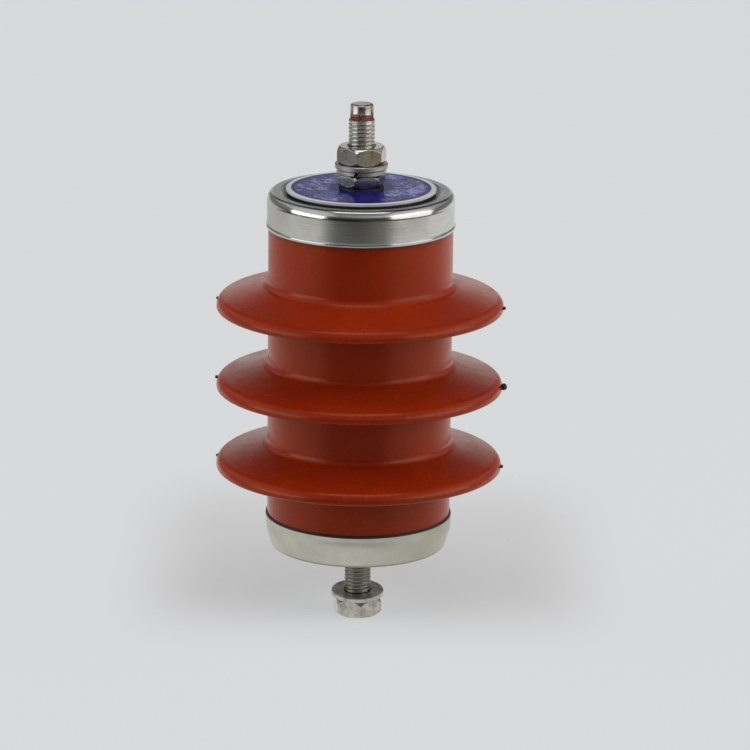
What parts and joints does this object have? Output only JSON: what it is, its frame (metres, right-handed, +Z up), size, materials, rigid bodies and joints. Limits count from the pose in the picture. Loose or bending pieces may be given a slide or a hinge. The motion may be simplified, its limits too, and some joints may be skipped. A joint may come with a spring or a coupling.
{
  "type": "cable sheath voltage limiter",
  "caption": "Upright surge limiter for a cable's metal sheath: a rubber housing with sheds between steel end caps, with a threaded terminal at each end.",
  "frame": {"origin": "centre of the earth nut's lower face, on the stack's axis", "axes": "+Z up the stack, from the earth terminal to the line terminal; the picture looks along +Y, with +X to its right"},
  "size_m": [0.111, 0.1088, 0.2],
  "materials": {
    "silicone_rubber": "satin moulded silicone rubber, brick red",
    "glass_fibre_tube": "smooth epoxy and glass fibre",
    "aluminium_alloy": "turned",
    "zinc_oxide_ceramic": "fired, matte",
    "spring_steel": "ground",
    "black_rubber": "matte",
    "nameplate_enamel": "glossy blue with a white border",
    "polished_cap_steel": "pressed stainless steel, half polished",
    "satin_cap_steel": "pressed stainless steel, matte",
    "stainless_fastener": "bright stainless steel"
  },
  "bodies": {
    "root": {"bottom_cap": "satin_cap_steel", "cap_nut": "stainless_fastener", "contact_plate_1": "aluminium_alloy", "contact_plate_2": "aluminium_alloy", "earth_cap_nut": "stainless_fastener", "earth_nut": "stainless_fastener", "earth_seal_washer": "black_rubber", "earth_stud": "stainless_fastener", "earth_washer": "stainless_fastener", "flat_washer": "stainless_fastener", "insulating_tube": "glass_fibre_tube", "lower_disc_spring": "spring_steel", "lower_electrode": "aluminium_alloy", "lower_end_gasket": "black_rubber", "nameplate": "nameplate_enamel", "nameplate_gasket": "black_rubber", "pressure_plate": "spring_steel", "sealant_bead": "black_rubber", "silicone_housing": "silicone_rubber", "spring_washer": "stainless_fastener", "stud_seal_washer": "black_rubber", "terminal_nut": "stainless_fastener", "terminal_stud": "stainless_fastener", "top_cap": "polished_cap_steel", "upper_disc_spring": "spring_steel", "upper_electrode": "aluminium_alloy", "upper_end_gasket": "black_rubber", "varistor_disc_1": "zinc_oxide_ceramic", "varistor_disc_2": "zinc_oxide_ceramic", "varistor_disc_3": "zinc_oxide_ceramic"}
  },
  "joints": []
}
